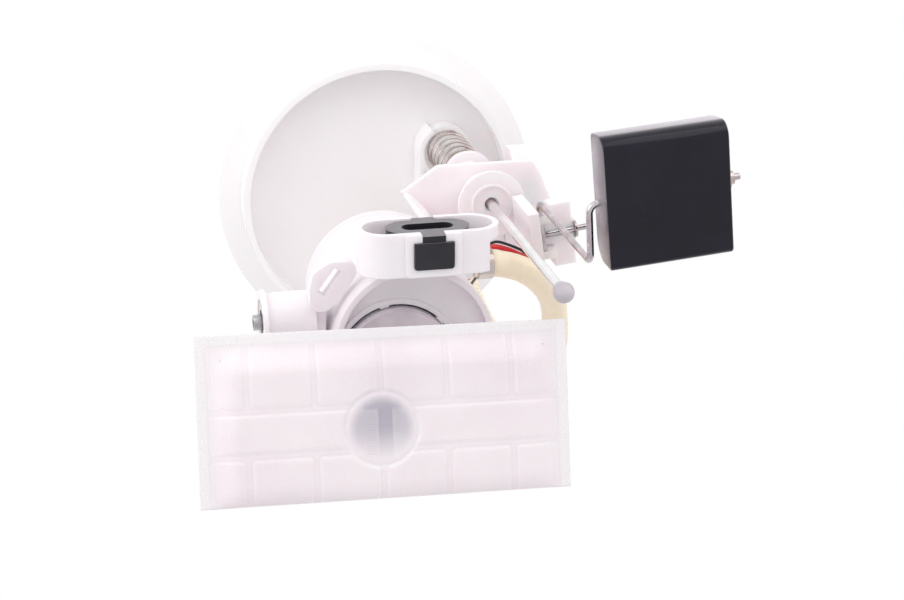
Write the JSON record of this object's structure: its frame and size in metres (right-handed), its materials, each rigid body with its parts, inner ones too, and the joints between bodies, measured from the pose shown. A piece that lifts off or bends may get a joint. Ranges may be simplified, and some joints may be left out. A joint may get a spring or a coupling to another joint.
{
  "type": "electric fuel pump",
  "caption": "In-tank electric fuel pump module: tank flange, sprung guide rod, pump in a filter canister, regulator, flat mesh strainer and level float.",
  "frame": {"origin": "centre of the tank flange, on its seating face", "axes": "+Z out of the tank through the flange, as installed; X and Y along the flange's centre lines, with the level float towards -Y and the strainer towards +Y"},
  "size_m": [0.1762, 0.1237, 0.2068],
  "materials": {
    "acetal_white": "satin",
    "acetal_flange": "satin",
    "nylon_mesh": "woven",
    "nylon_frame": "matte",
    "nylon_hose": "satin",
    "rubber_black": "matte",
    "rubber_grey": "matte",
    "float_black": "satin",
    "steel_bright": "polished",
    "steel_spring": "drawn wire",
    "steel_can": "rolled",
    "tip_grey": "matte",
    "copper_tin": "tinned",
    "copper": "bright",
    "pump_plastic": "matte",
    "magnet": "dark",
    "core_steel": "laminated",
    "carbon": "matte",
    "card_beige": "matte",
    "paper": "pleated",
    "wire_red": "satin",
    "wire_black": "satin"
  },
  "bodies": {
    "flange_unit": {"flange": "acetal_flange", "connector_terminals": "copper_tin", "guide_rod": "steel_bright", "rod_ball_tip": "tip_grey", "strut_spring": "steel_spring", "stop_leg": "acetal_flange", "fuel_hose": "nylon_hose", "hose_clamp_high": "steel_spring", "sender_lead_red": "wire_red", "sender_lead_black": "wire_black", "pump_lead_plus": "wire_red", "pump_lead_minus": "wire_black"},
    "pump_holder": {"filter_canister": "acetal_white", "canister_cap": "acetal_white", "outlet_oring": "rubber_grey", "filter_element": "paper", "strut_bracket": "acetal_white", "isolator_band": "acetal_white", "rubber_isolator": "rubber_black", "regulator_housing": "acetal_white", "pressure_regulator": "steel_can", "regulator_oring": "rubber_grey", "regulator_retainer": "steel_spring", "pump_can": "steel_can", "pump_inlet_cover": "pump_plastic", "pump_bearing_plate": "pump_plastic", "pump_outlet_cover": "pump_plastic", "pump_terminals": "copper_tin", "motor_magnets": "magnet", "brushes": "carbon", "check_valve_spring": "steel_spring", "pump_cushion": "rubber_grey", "strainer_bag": "nylon_mesh", "strainer_frame": "nylon_frame", "strainer_neck": "nylon_frame", "strainer_retainer": "steel_spring", "sender_housing": "acetal_white", "resistor_card": "card_beige", "pivot_pin": "steel_bright", "pin_retainer": "steel_spring", "hose_clamp_low": "steel_spring"},
    "pump_rotor": {"armature": "core_steel", "motor_shaft": "steel_bright", "commutator": "copper", "impeller": "pump_plastic"},
    "outlet_valve": {"check_valve_poppet": "rubber_grey"},
    "float_lever": {"arm_holder": "acetal_white", "wiper_contact": "copper", "float_arm": "steel_bright", "float_washer": "copper", "float_clip": "steel_spring"},
    "float_block": {"float": "float_black"}
  },
  "joints": [
    {"name": "holder_slide", "type": "slide", "parent": "flange_unit", "child": "pump_holder", "axis": [0, 0, 1], "range_m": [0, 0.02], "stiffness_N_per_m": 180, "springref_m": -0.03, "deforming": ["strut_spring", "fuel_hose", "sender_lead_red", "sender_lead_black", "pump_lead_plus", "pump_lead_minus"]},
    {"name": "pump_rotor_spin", "type": "hinge", "parent": "pump_holder", "child": "pump_rotor", "pos_m": [-0.0214, 0.0094, -0.12], "axis": [0, 0, 1], "continuous": true},
    {"name": "check_valve_lift", "type": "slide", "parent": "pump_holder", "child": "outlet_valve", "axis": [0, 0, 1], "range_m": [0, 0.0015], "stiffness_N_per_m": 60, "springref_m": -0.003, "deforming": ["check_valve_spring"]},
    {"name": "float_arm_swing", "type": "hinge", "parent": "pump_holder", "child": "float_lever", "pos_m": [0.0481, -0.009, -0.091], "axis": [-0.9917, 0.1288, 0], "range_deg": [0, 82]},
    {"name": "float_swivel", "type": "hinge", "parent": "float_lever", "child": "float_block", "pos_m": [0.06383, -0.04009, -0.152], "axis": [0.9917, -0.1288, 0], "continuous": true}
  ]
}
